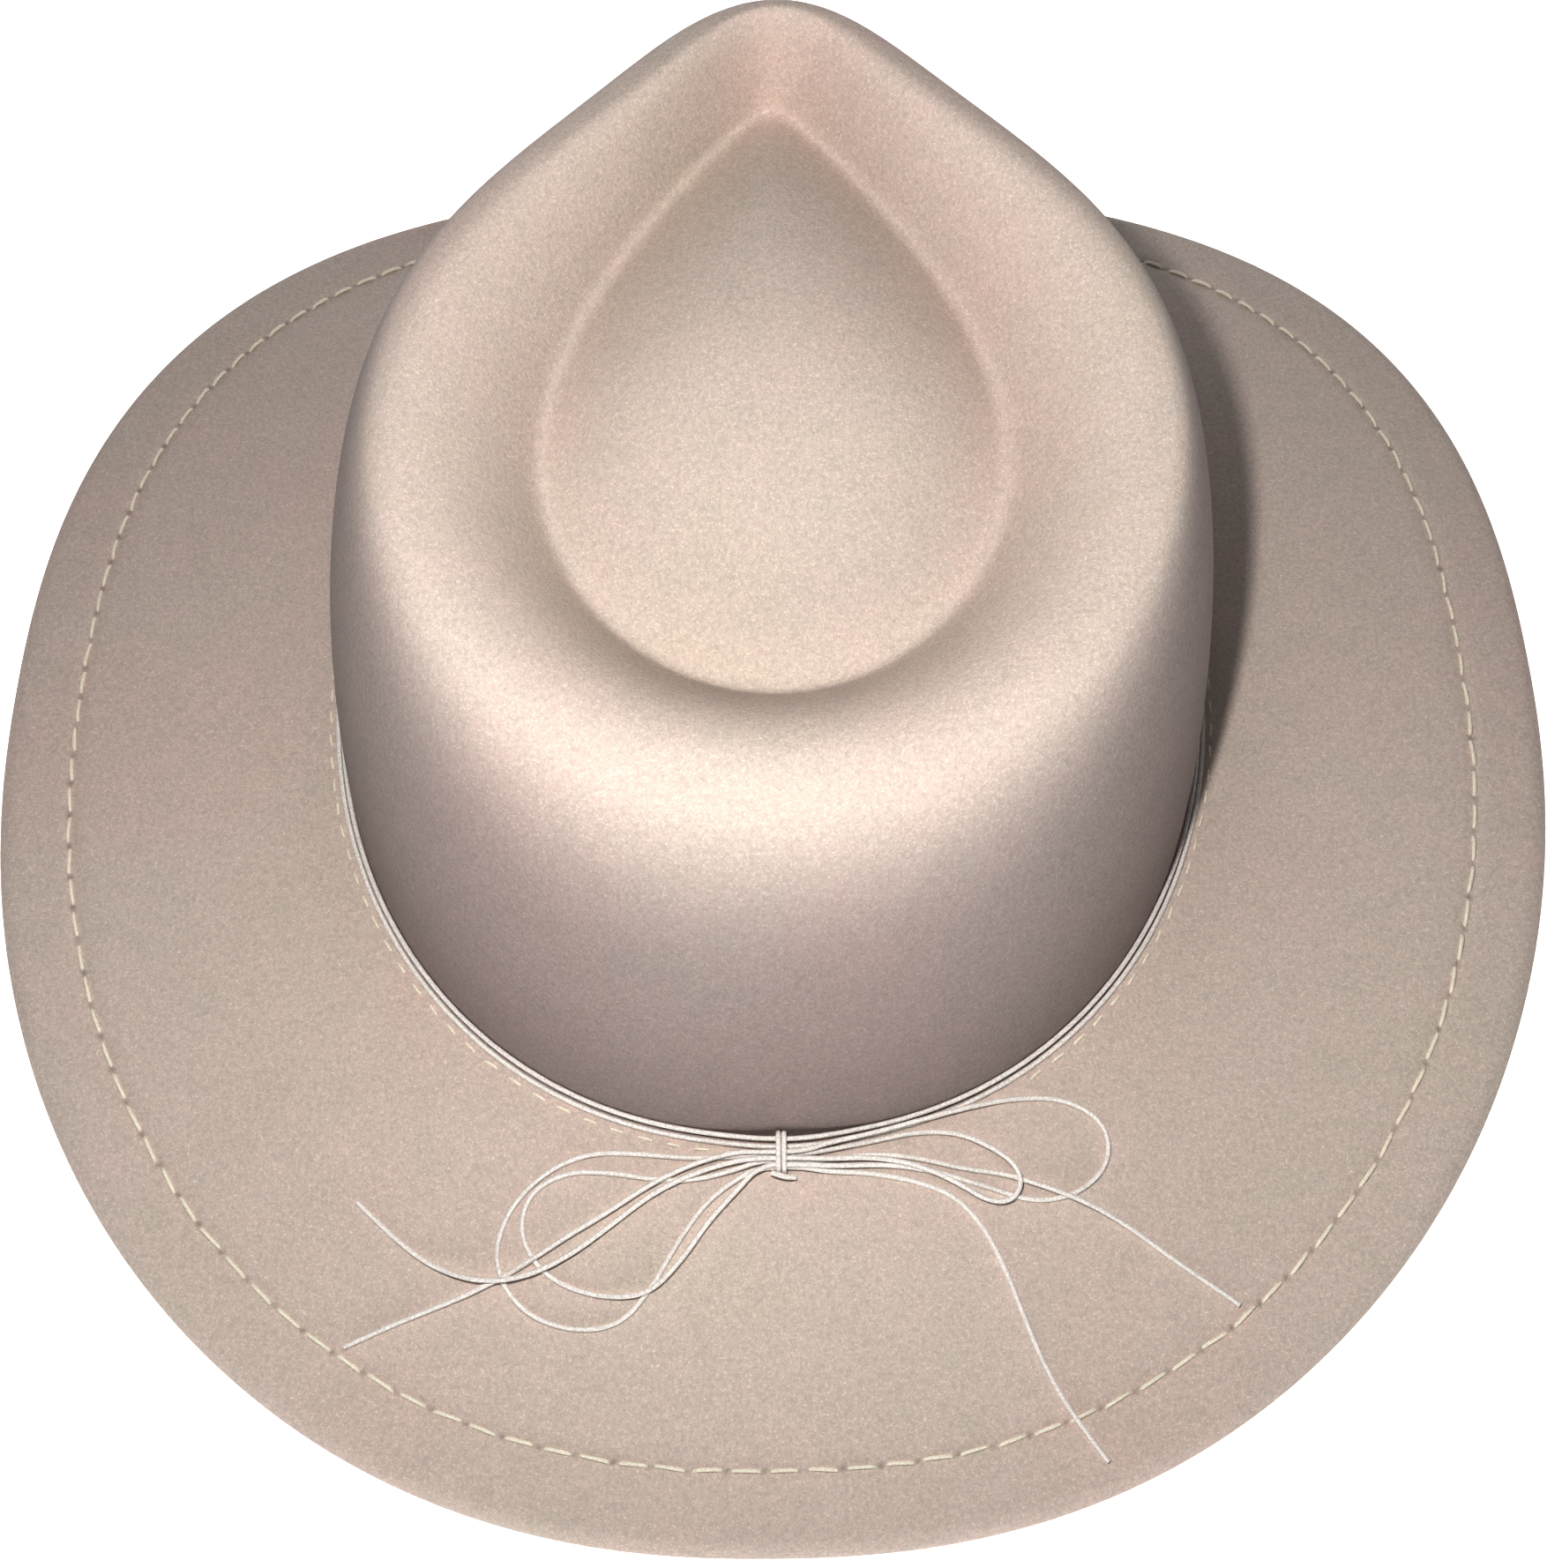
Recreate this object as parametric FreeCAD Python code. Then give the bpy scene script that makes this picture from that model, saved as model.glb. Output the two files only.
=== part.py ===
import FreeCAD, Part
import math
import os
from FreeCAD import Vector

# A western hat with a teardrop crown. Millimetres. The hat stands on its brim: +Z is up,
# the pinched front faces -Y, the bow is at the rear (+Y), and the origin is on the ground
# under the middle of the brim. An angle runs from +X towards +Y, so -90 degrees is the front.

# ---- Driving dimensions ----
FELT = 2.2                      # thickness of the felt of crown and brim
# Foot of the crown: an oval (superellipse) a little in front of the brim's middle
FOOT_HALF_X = 86.6
FOOT_HALF_Y = 102.8
FOOT_POWER = 2.15
FOOT_CENTRE_X = -0.8
CROWN_CENTRE_Y = -1.9
FOOT_HEIGHT = 33.0              # mean height above the ground
FOOT_SADDLE = 3.5               # sides up, front and rear down
FOOT_TILT = 3.0                 # rear up, front down
# Brim
BRIM_HALF_X = 155.0
BRIM_HALF_Y = 171.0
BRIM_POWER = 2.3
EDGE_HEIGHT = 20.5              # mean height of the middle of the edge roll
EDGE_SADDLE = 17.2
EDGE_LEAN = 4.2                 # one side is curled up a little more than the other
BRIM_SWEEP = 0.7                # how much of the brim's slope is an S-curve
# Edge roll, hem and wire
ROLL_RADIUS = 3.3
CHANNEL_RADIUS = ROLL_RADIUS - FELT + 0.05
HEM_WIDTH = 17.0                # from the outer edge to the end of the turned-under flap
HEM_GAP = 0.3                   # between the flap and the brim above it
WIRE_RADIUS = 0.8
SLEEVE_RADIUS = 1.1
SLEEVE_LENGTH = 20.0
WIRE_GAP = 0.6                  # between the wire's two ends, inside the sleeve
# Crown: ridge round the top, crease inside it, domed floor inside the crease
RIDGE = {"half_x": 73.2, "front": 78.6, "rear": 69.6, "taper": 0.50, "power": 2.5, "shift_x": -3.4}
RIDGE_HEIGHTS = (114.2, 130.7, 142.2)       # rear, sides, front, above the ground
CREASE = {"half_x": 48.3, "front": 72.0, "rear": 48.2, "taper": 0.70, "power": 2.04, "shift_x": -1.9}
CREASE_DEPTHS = (15.0, 18.0, 21.0)          # rear, sides, front, below the ridge
WALL_POWER = 1.85                           # roundness of the crown's shoulder
DOME_HEIGHT = 15.0
DOME_RIM = 0.06                             # where the floor's surface ends in a small cap
DENT_DEPTH = 8.8                            # front pinch, one dent on each side
DENT_ANGLE = 42.0                           # degrees from the front
DENT_SPREAD = 24.0
DENT_RISE = 0.72                            # share of the wall's height
DENT_TALL = 0.3
FLANGE_WIDTH = 9.0                          # crown's turned-out foot, under the brim
# Sweatband
BAND_THICKNESS = 1.0
BAND_HEIGHT = 30.0
FIT_GAP = 0.05
TAPE_WIDTH = 16.0
TAPE_THICKNESS = 0.4
LABEL_WIDTH = 24.0
LABEL_LOW = 10.0                            # above the crown's foot
LABEL_HIGH = 22.0
LABEL_THICKNESS = 0.3
# Stitches
HEM_STITCH_INSET = 14.3                     # from the outer edge
HEM_STITCH_PITCH = 7.0
HEM_STITCH_LENGTH = 5.0
HEM_STITCH_RADIUS = 0.3
FOOT_STITCH_OFFSET = 3.3                    # from the crown's wall
FOOT_STITCH_PITCH = 5.5
FOOT_STITCH_LENGTH = 3.0
FOOT_STITCH_RADIUS = 0.22
# Cords and bow
CORD_DIAMETER = 1.0
LOW_CORD = (1.65, 0.55)                     # out from the wall, up from the brim
HIGH_CORD = (0.55, 1.5)
KNOT_X = -2.0
KNOT_ROOM = 1.05                            # the binding lifts the cords off wall and brim
KNOT_SPREAD = 6.0                           # degrees
BUNDLE_Y = 105.0                            # the bow's strands, three rows by two layers
BUNDLE_PITCH = 1.15

STEPS = 72
ANGLES = [2 * math.pi * i / STEPS for i in range(STEPS)]
FRONT = -math.pi / 2
REAR = math.pi / 2
CORD_RADIUS = CORD_DIAMETER / 2


# ---- Shape formulas ----
def signed_power(value, power):
    return math.copysign(abs(value) ** power, value)


def oval(angle, half_x, half_y, power):
    return (half_x * signed_power(math.cos(angle), 2 / power),
            half_y * signed_power(math.sin(angle), 2 / power))


def around(angle, rear, side, front):
    """A smooth value that is rear, side and front at those places."""
    mean = (rear + front) / 4 + side / 2
    return mean + (rear - front) / 2 * math.sin(angle) + (side - mean) * math.cos(2 * angle)


def foot(angle, out=0.0, up=0.0):
    x, y = oval(angle, FOOT_HALF_X, FOOT_HALF_Y, FOOT_POWER)
    z = FOOT_HEIGHT + FOOT_SADDLE * math.cos(2 * angle) + FOOT_TILT * math.sin(angle)
    point = Vector(x + FOOT_CENTRE_X, y + CROWN_CENTRE_Y, z + up)
    return point + outward(foot, angle) * out if out else point


def roll_centre(angle):
    x, y = oval(angle, BRIM_HALF_X - ROLL_RADIUS, BRIM_HALF_Y - ROLL_RADIUS, BRIM_POWER)
    z = EDGE_HEIGHT + EDGE_SADDLE * math.cos(2 * angle) - EDGE_LEAN * math.cos(angle) ** 3
    return Vector(x, y, z)


def outward(curve, angle):
    """Level unit vector out of a closed curve."""
    step = 0.01
    along = curve(angle + step) - curve(angle - step)
    return Vector(along.y, -along.x, 0).normalize()


def brim_top(angle, share):
    """Top face of the brim, from the crown's foot (0) to the top of the edge roll (1)."""
    inner = foot(angle)
    outer = roll_centre(angle) + Vector(0, 0, ROLL_RADIUS)
    sweep = BRIM_SWEEP * (3 * share ** 2 - 2 * share ** 3) + (1 - BRIM_SWEEP) * share
    point = inner + (outer - inner) * share
    point.z = inner.z + (outer.z - inner.z) * sweep
    return point


def brim_span(angle):
    across = roll_centre(angle) - foot(angle)
    return math.hypot(across.x, across.y)


def brim_from_foot(angle, distance, drop=0.0):
    return brim_top(angle, distance / brim_span(angle)) - Vector(0, 0, drop)


def brim_from_roll(angle, distance, drop=0.0):
    return brim_top(angle, 1 - distance / brim_span(angle)) - Vector(0, 0, drop)


def teardrop(angle, half_x, front, rear, taper, power, shift_x):
    forward = -math.sin(angle)
    narrow = 1 - taper * ((1 + forward) / 2) ** power
    x = half_x * math.cos(angle) * narrow + shift_x
    y = CROWN_CENTRE_Y - (front - rear) / 2 - (front + rear) / 2 * forward
    return x, y


def ridge(angle):
    return Vector(*teardrop(angle, **RIDGE), around(angle, *RIDGE_HEIGHTS))


def crease(angle):
    height = around(angle, *RIDGE_HEIGHTS) - around(angle, *CREASE_DEPTHS)
    return Vector(*teardrop(angle, **CREASE), height)


def dent(angle, rise):
    """How far, and which way, the front pinch pushes the wall in."""
    push = Vector(0, 0, 0)
    for side in (-1, 1):
        middle = FRONT + side * math.radians(DENT_ANGLE)
        turn = (angle - middle + math.pi) % (2 * math.pi) - math.pi
        depth = DENT_DEPTH * math.exp(-(turn / math.radians(DENT_SPREAD)) ** 2)
        depth *= math.exp(-((rise - DENT_RISE) / DENT_TALL) ** 2)
        push -= Vector(math.cos(middle), math.sin(middle), 0) * depth
    return push


def crown_top(angle, place):
    """Outer face of the crown: foot 0, ridge 1, crease 2, middle of the floor 3."""
    if place <= 1:
        low, high = foot(angle), ridge(angle)
        rise = math.sin(place * math.pi / 2) ** (2 / WALL_POWER)
        spread = math.cos(place * math.pi / 2) ** (2 / WALL_POWER)
        point = high + (low - high) * spread
        point.z = low.z + (high.z - low.z) * rise
        return point + dent(angle, rise)
    if place <= 2:
        high, low = ridge(angle), crease(angle)
        share = place - 1
        point = high + (low - high) * share
        point.z = high.z + (low.z - high.z) * (1 - math.cos(share * math.pi / 2))
        return point + dent(angle, 1) * math.cos(share * math.pi / 2) ** 2
    rim = 3 - place
    edge = crease(angle)
    front, rear = crease(FRONT), crease(REAR)
    middle = (front + rear) * 0.5
    point = middle + (edge - middle) * rim
    point.z += DOME_HEIGHT * (1 - rim ** 2)
    return point


def crown_under(angle, place, depth):
    """The crown's face moved inwards by depth."""
    step = 0.01
    turn = crown_top(angle + step, place) - crown_top(angle - step, place)
    climb = crown_top(angle, min(place + step, 3)) - crown_top(angle, max(place - step, 0))
    normal = turn.cross(climb).normalize()
    return crown_top(angle, place) - normal * depth


def place_at_height(angle, height):
    """Place on the wall at a height above the foot."""
    rise = height / (ridge(angle).z - foot(angle).z)
    return math.asin(rise ** (WALL_POWER / 2)) * 2 / math.pi


# ---- Solids from rings ----
def ring(point):
    """Smooth closed wire through point(angle) all the way round."""
    curve = Part.BSplineCurve()
    curve.interpolate(Points=[point(angle) for angle in ANGLES], PeriodicFlag=True)
    return Part.Wire([curve.toShape()])


def skin(rings):
    return Part.makeLoft(rings, False, False).Faces


def cap(wire):
    return [Part.makeFilledFace(wire.Edges)]


def closed(name, faces):
    shell = Part.makeShell(faces)
    shell.sewShape()
    solid = Part.makeSolid(Part.Shell(shell.Faces))
    if solid.Volume < 0:
        solid.reverse()
    print(f"{name}: valid {solid.isValid()}, volume {solid.Volume / 1000:.2f} cm3")
    return solid


def section(name, *groups):
    """Closed ring solid. Its cross-section is a loop of groups of rings: a group runs on
    smoothly from the last ring before it, and a group of one ring makes a flat step."""
    faces = []
    first = None
    last = None
    for group in groups:
        new = [ring(point) for point in group]
        rings = ([last] if last else []) + new
        if len(rings) > 1:
            faces += skin(rings)
        first = first or new[0]
        last = new[-1]
    faces += skin([last, first])
    return closed(name, faces)


def round_ring(name, centre, radius):
    """Ring of round section whose middle follows centre(angle)."""
    def at(degrees):
        turn = math.radians(degrees)
        return ring(lambda angle: centre(angle)
                    + outward(centre, angle) * (radius * math.cos(turn))
                    + Vector(0, 0, radius * math.sin(turn)))
    outer, inner = at(0), at(180)
    upper = [outer, at(45), at(90), at(135), inner]
    lower = [inner, at(225), at(270), at(315), outer]
    return closed(name, skin(upper) + skin(lower))


def box(low, high):
    low, high = Vector(*low), Vector(*high)
    size = high - low
    return Part.makeBox(size.x, size.y, size.z, low)


# ---- Cords: straight runs joined by tangent arcs ----
def cord_path(name, points):
    runs = [b - a for a, b in zip(points, points[1:])]
    edges = []
    radii = []
    start = points[0]
    for i in range(1, len(points) - 1):
        before, after = runs[i - 1], runs[i]
        half_turn = before.getAngle(after) / 2
        cut = 0.45 * min(before.Length, after.Length)
        radii.append(cut / math.tan(half_turn))
        into = Vector(before).normalize()
        out = Vector(after).normalize()
        arc_start = points[i] - into * cut
        arc_end = points[i] + out * cut
        bulge = (out - into).normalize() * (radii[-1] / math.cos(half_turn) - radii[-1])
        edges.append(Part.LineSegment(start, arc_start).toShape())
        edges.append(Part.Arc(arc_start, points[i] + bulge, arc_end).toShape())
        start = arc_end
    edges.append(Part.LineSegment(start, points[-1]).toShape())
    print(f"{name}: radii {[round(r, 1) for r in radii]}")
    return Part.Wire(edges)


def sweep(name, path):
    start = path.Edges[0]
    direction = start.tangentAt(start.FirstParameter)
    disc = Part.Wire([Part.makeCircle(CORD_RADIUS, start.valueAt(start.FirstParameter), direction)])
    solid = path.makePipeShell([disc], True, False)
    area = math.pi * CORD_RADIUS ** 2
    print(f"{name}: length {path.Length:.1f}, volume over section times length "
          f"{solid.Volume / area / path.Length:.4f}, valid {solid.isValid()}")
    return solid


def free_cord(name, points):
    return sweep(name, cord_path(name, [Vector(*point) for point in points]))


# ---- Stitches ----
def stitch_row(path, pitch, length, radius, skipped=None):
    """Short straight threads along a closed path, evenly spaced."""
    dense = [path(2 * math.pi * i / 3600) for i in range(3601)]
    travelled = [0.0]
    for a, b in zip(dense, dense[1:]):
        travelled.append(travelled[-1] + (b - a).Length)
    count = round(travelled[-1] / pitch)

    def at(distance):
        distance %= travelled[-1]
        index = next(i for i, value in enumerate(travelled) if value >= distance)
        index = max(index, 1)
        share = (distance - travelled[index - 1]) / (travelled[index] - travelled[index - 1])
        return dense[index - 1] + (dense[index] - dense[index - 1]) * share

    threads = []
    for i in range(count):
        middle = i * travelled[-1] / count
        start, end = at(middle - length / 2), at(middle + length / 2)
        if skipped and skipped(start):
            continue
        threads.append(Part.makeCylinder(radius, (end - start).Length, start, end - start))
    return threads


# ---- Pieces ----
def make_crown():
    under_brim = [ring(lambda a, d=d: brim_from_foot(a, d, FELT)) for d in (FLANGE_WIDTH, FLANGE_WIDTH / 2)]
    wall_low = ring(lambda a: foot(a, up=-FELT))
    wall = [i / 10 for i in range(11)]
    slope = [1, 1.25, 1.5, 1.75, 2]
    floor = [2, 2.2, 2.4, 2.6, 2.8, 3 - DOME_RIM]
    outer = {place: ring(lambda a, p=place: crown_top(a, p)) for place in wall + slope + floor}
    inner = {place: ring(lambda a, p=place: crown_under(a, p, FELT)) for place in wall + slope + floor}
    inner_low = ring(lambda a: crown_under(a, 0, FELT) - Vector(0, 0, 2 * FELT))
    flange = [inner_low] + [ring(lambda a, d=d: brim_from_foot(a, d, 2 * FELT))
                            for d in (FLANGE_WIDTH / 4, FLANGE_WIDTH / 2, FLANGE_WIDTH)]
    faces = skin(under_brim + [wall_low]) + skin([wall_low, outer[0]])
    for side in (outer, inner):
        for places in (wall, slope, floor):
            faces += skin([side[place] for place in places])
        faces += cap(side[floor[-1]])
    faces += skin([inner[0], inner_low]) + skin(flange) + skin([flange[-1], under_brim[0]])
    return closed("crown", faces)


def make_brim():
    def on_circle(radius, degrees):
        turn = math.radians(degrees)
        return lambda a: (roll_centre(a) + outward(roll_centre, a) * (radius * math.cos(turn))
                          + Vector(0, 0, radius * math.sin(turn)))

    def inwards(distance, drop):
        return lambda a: brim_from_roll(a, distance, drop)

    flap_end = HEM_WIDTH - ROLL_RADIUS
    flap_thickness = 2 * FELT + HEM_GAP
    top = [lambda a, s=s: brim_top(a, s) for s in (0, 0.08, 0.2, 0.35, 0.5, 0.65, 0.8, 0.92, 1)]
    roll = [on_circle(ROLL_RADIUS, t) for t in (60, 30, 0, -30, -60, -90)]
    flap_under = [inwards(3.5, 5.6), inwards(7, flap_thickness + 0.1), inwards(flap_end, flap_thickness)]
    flap_edge = [inwards(flap_end, FELT + HEM_GAP)]
    flap_over = [inwards(9, FELT + HEM_GAP), inwards(4, FELT + HEM_GAP + 0.1), on_circle(CHANNEL_RADIUS, 180)]
    channel = [on_circle(CHANNEL_RADIUS, t) for t in (225, 270, 315, 360, 405, 450)]
    under = [lambda a, s=s: brim_top(a, s) - Vector(0, 0, FELT)
             for s in (0.92, 0.8, 0.65, 0.5, 0.35, 0.2, 0.08, 0)]
    return section("brim", top, roll, flap_under, flap_edge, flap_over, channel, under)


def band_layer(name, near, thickness, low, high):
    """Strip against the crown's inner face; low and high are heights above the foot."""
    def level(height, depth):
        if height < 0:
            return lambda a: crown_under(a, 0, depth) + Vector(0, 0, height)
        return lambda a: crown_under(a, place_at_height(a, height), depth)

    heights = [low] + [h for h in (0, 8, 16, 24) if low < h < high] + [high]
    far = near + thickness
    outer = [level(h, near) for h in heights if h >= 0 or low >= 0]
    inner = [level(h, far) for h in reversed(heights) if h >= 0 or low >= 0]
    if low >= 0:
        return section(name, outer, inner[:1], inner[1:])
    return section(name, [level(low, near)], outer, inner[:1], inner[1:], [level(low, far)])


def make_sweatband():
    low = -2 * FELT
    near = FELT + FIT_GAP
    band = band_layer("sweatband", near, BAND_THICKNESS, low, BAND_HEIGHT)
    near += BAND_THICKNESS + FIT_GAP
    tape = band_layer("tape ring", near, TAPE_THICKNESS, 0.5, BAND_HEIGHT - 0.5)
    tape = tape.common(box((-TAPE_WIDTH / 2, 0, 0), (TAPE_WIDTH / 2, 150, 100)))
    label = band_layer("label ring", near, LABEL_THICKNESS, LABEL_LOW, LABEL_HIGH)
    label = label.common(box((0, -LABEL_WIDTH / 2, 0), (150, LABEL_WIDTH / 2, 100)))
    return band, tape.Solids[0], label.Solids[0]


def make_wire():
    wire = round_ring("wire", roll_centre, WIRE_RADIUS)
    sleeve = round_ring("sleeve", roll_centre, SLEEVE_RADIUS)
    gap = box((-WIRE_GAP / 2, 0, -20), (WIRE_GAP / 2, 200, 100))
    reach = box((-SLEEVE_LENGTH / 2, 0, -20), (SLEEVE_LENGTH / 2, 200, 100))
    sleeve = sleeve.common(reach).cut(wire)
    wire = wire.cut(gap)
    return wire.Solids[0], sleeve.Solids[0]


def make_hem_stitches():
    inset = HEM_STITCH_INSET - ROLL_RADIUS
    under = 2 * FELT + HEM_GAP + HEM_STITCH_RADIUS
    threads = []
    for drop in (-HEM_STITCH_RADIUS, under):
        threads += stitch_row(lambda a: brim_from_roll(a, inset, drop), HEM_STITCH_PITCH,
                              HEM_STITCH_LENGTH, HEM_STITCH_RADIUS)
    return Part.makeCompound(threads)


def make_foot_stitches():
    """Through brim and crown flange; none under the bow, where its cords lie."""
    def under_bow(point):
        return point.y > 0 and -48 < point.x < 6

    threads = stitch_row(lambda a: brim_from_foot(a, FOOT_STITCH_OFFSET, -FOOT_STITCH_RADIUS),
                         FOOT_STITCH_PITCH, FOOT_STITCH_LENGTH, FOOT_STITCH_RADIUS, under_bow)
    threads += stitch_row(lambda a: brim_from_foot(a, FOOT_STITCH_OFFSET, 2 * FELT + FOOT_STITCH_RADIUS),
                          FOOT_STITCH_PITCH, FOOT_STITCH_LENGTH, FOOT_STITCH_RADIUS)
    return Part.makeCompound(threads)


def band_cord(name, out, up):
    """Cord round the foot of the crown, lifted a little where the binding goes behind it."""
    def centre(angle):
        turn = (angle - REAR - math.asin(-KNOT_X / FOOT_HALF_X) + math.pi) % (2 * math.pi) - math.pi
        lift = KNOT_ROOM * math.exp(-(turn / math.radians(KNOT_SPREAD)) ** 2)
        point = foot(angle, out=out + lift)
        brim = brim_from_foot(angle, out + lift)
        point.z = brim.z + up + lift
        return point
    return round_ring(name, centre, CORD_RADIUS)


def make_binding():
    """Two wraps round the whole bundle and a small hitch on its outer side."""
    wall_side = foot(REAR).y + CORD_RADIUS + 0.1
    far_side = BUNDLE_Y + 2 * BUNDLE_PITCH + CORD_DIAMETER
    tall = 2 * CORD_DIAMETER + BUNDLE_PITCH + 0.1
    corner = 1.0

    def surface(y):
        return brim_from_foot(REAR, y - foot(REAR).y).z

    low_in = Vector(0, wall_side, surface(wall_side) + CORD_RADIUS + 0.05)
    low_out = Vector(0, far_side, surface(far_side) + CORD_RADIUS + 0.05)
    corners = [low_in, low_out, low_out + Vector(0, 0, tall), low_in + Vector(0, 0, tall)]
    wraps = []
    for x in (KNOT_X - CORD_RADIUS - 0.02, KNOT_X + CORD_RADIUS + 0.02):
        edges = []
        ends = []
        for i, point in enumerate(corners):
            back = (corners[i - 1] - point).normalize()
            ahead = (corners[(i + 1) % 4] - point).normalize()
            half = back.getAngle(ahead) / 2
            cut = corner / math.tan(half)
            middle = (back + ahead).normalize() * (corner / math.sin(half) - corner)
            shift = point + Vector(x, 0, 0)
            edges.append(Part.Arc(shift + back * cut, shift + middle, shift + ahead * cut).toShape())
            ends.append((shift + back * cut, shift + ahead * cut))
        for i in range(4):
            edges.append(Part.LineSegment(ends[i - 1][1], ends[i][0]).toShape())
        path = Part.Wire(Part.__sortEdges__(edges))
        wraps.append(sweep("wrap", path))
    hitch_y = far_side + CORD_DIAMETER + 0.05
    hitch_z = low_out.z + tall / 2
    hitch = [(KNOT_X + 1.9, hitch_y - 0.4, hitch_z + 1.2), (KNOT_X + 0.6, hitch_y, hitch_z + 0.9),
             (KNOT_X - 1.0, hitch_y + 0.1, hitch_z), (KNOT_X - 2.6, hitch_y - 0.2, hitch_z - 0.7)]
    wraps.append(free_cord("hitch", hitch))
    return Part.makeCompound(wraps)


# Routes of the bow's cords. Two cords each make one loop on either side and end in two tails;
# left and right stretches meet face to face at the knot's middle plane.
BOW_ROUTES = {
    "loop_left_outer": [
        (-2.0, 105.0, 33.4), (2.0, 105.0, 33.4), (7.1, 105.1, 32.8), (15.3, 105.2, 32.3),
        (24.3, 104.1, 32.3), (34.2, 103.7, 32.1), (43.2, 107.6, 30.4), (49.7, 114.6, 27.3),
        (51.3, 122.9, 23.8), (46.3, 130.3, 20.8), (37.3, 133.7, 19.7), (28.1, 133.1, 20.3),
        (22.2, 127.2, 23.5), (17.6, 120.0, 27.0), (12.1, 113.0, 30.0), (6.3, 109.1, 31.8),
        (2.0, 107.3, 32.9), (-2.0, 107.3, 32.9)],
    "loop_left_inner": [
        (-2.0, 106.15, 33.2), (2.0, 106.15, 33.2), (7.1, 107.7, 32.2), (14.5, 109.1, 31.2),
        (21.8, 108.8, 31.1), (29.4, 107.4, 31.3), (37.4, 106.9, 31.0), (44.5, 110.0, 29.5),
        (46.7, 116.3, 26.9), (44.0, 122.3, 24.6), (38.2, 126.5, 23.0), (30.0, 128.6, 22.9),
        (22.6, 128.4, 24.1), (16.6, 123.1, 26.9), (11.7, 116.6, 29.5), (6.3, 111.5, 32.1),
        (2.0, 107.3, 34.05), (-2.0, 107.3, 34.05)],
    "loop_right_outer": [
        (-2.0, 105.0, 34.55), (-6.0, 105.0, 34.55), (-11.0, 103.1, 34.5), (-19.0, 101.3, 34.3),
        (-27.5, 99.0, 34.6), (-36.0, 96.5, 34.4), (-45.7, 94.2, 33.8), (-55.4, 94.2, 33.3),
        (-62.5, 98.4, 31.9), (-63.4, 105.3, 29.9), (-57.9, 111.0, 28.4), (-49.3, 113.0, 28.3),
        (-40.2, 110.4, 29.8), (-30.8, 107.7, 31.2), (-21.5, 106.6, 32.1), (-12.1, 107.3, 33.2),
        (-6.0, 107.3, 34.05), (-2.0, 107.3, 34.05)],
    "loop_right_inner": [
        (-2.0, 105.0, 33.4), (-6.0, 105.0, 33.4), (-10.9, 104.0, 33.0), (-19.0, 102.4, 32.9),
        (-27.0, 100.6, 33.1), (-34.6, 100.8, 33.2), (-40.3, 103.4, 33.2), (-45.1, 106.6, 32.4),
        (-46.6, 110.0, 31.2), (-44.6, 113.3, 30.0), (-40.0, 113.3, 30.1), (-34.6, 110.1, 31.5),
        (-27.4, 107.1, 32.8), (-19.3, 105.7, 33.5), (-10.8, 106.15, 33.8), (-6.0, 106.15, 34.35),
        (-2.0, 106.15, 34.35)],
    "tail_left_upper": [
        (-2.0, 106.15, 34.35), (2.0, 106.15, 34.35), (6.6, 106.3, 33.7), (14.5, 108.3, 32.6),
        (22.1, 111.7, 31.3), (29.6, 116.9, 29.0), (37.2, 121.9, 26.9), (45.6, 125.5, 25.4),
        (54.3, 125.9, 24.7), (63.0, 122.4, 23.6), (70.3, 117.0, 24.7), (77.1, 110.7, 26.4)],
    "tail_left_lower": [
        (-2.0, 105.0, 34.55), (2.0, 105.0, 34.55), (6.6, 104.7, 34.1), (14.5, 106.6, 33.1),
        (22.1, 109.9, 31.9), (29.9, 114.5, 29.9), (38.1, 118.7, 27.7), (46.2, 123.3, 25.2),
        (55.2, 127.2, 22.6), (63.9, 129.9, 20.3), (71.6, 132.6, 19.0), (78.8, 135.7, 18.0)],
    "tail_right_upper": [
        (-2.0, 106.15, 33.2), (-6.0, 106.15, 33.2), (-10.5, 105.8, 32.6), (-18.7, 104.5, 32.4),
        (-27.2, 105.3, 32.0), (-35.4, 107.2, 31.1), (-43.5, 108.0, 30.4), (-51.3, 110.6, 30.1),
        (-58.9, 113.3, 28.8), (-67.0, 117.3, 25.7), (-74.2, 122.4, 23.5), (-80.5, 126.5, 22.1),
        (-86.1, 130.5, 21.1)],
    "tail_right_lower": [
        (-2.0, 107.3, 32.9), (-6.0, 107.3, 32.9), (-10.2, 107.9, 32.1), (-18.2, 108.0, 31.5),
        (-26.3, 109.3, 30.9), (-33.6, 111.7, 29.7), (-38.7, 116.4, 27.6), (-42.5, 122.8, 24.6),
        (-45.6, 130.1, 21.2), (-48.6, 137.3, 17.8), (-52.3, 144.4, 14.9), (-56.5, 150.7, 13.0),
        (-60.9, 156.6, 11.9)],
}


def make_all():
    parts = {"crown": make_crown(), "brim": make_brim()}
    parts["sweatband"], parts["sweatband_joint_tape"], parts["size_label"] = make_sweatband()
    parts["brim_wire"], parts["brim_wire_sleeve"] = make_wire()
    parts["hem_stitching"] = make_hem_stitches()
    parts["crown_stitching"] = make_foot_stitches()
    parts["band_cord_lower"] = band_cord("band_cord_lower", *LOW_CORD)
    parts["band_cord_upper"] = band_cord("band_cord_upper", *HIGH_CORD)
    parts["bow_binding"] = make_binding()
    for name, route in BOW_ROUTES.items():
        parts[name] = free_cord(name, route)
    return parts


os.makedirs("parts", exist_ok=True)
total = FreeCAD.BoundBox()
for name, shape in make_all().items():
    shape.exportStep(f"parts/{name}.step")
    total.add(shape.optimalBoundingBox(False))
print(total)
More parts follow.
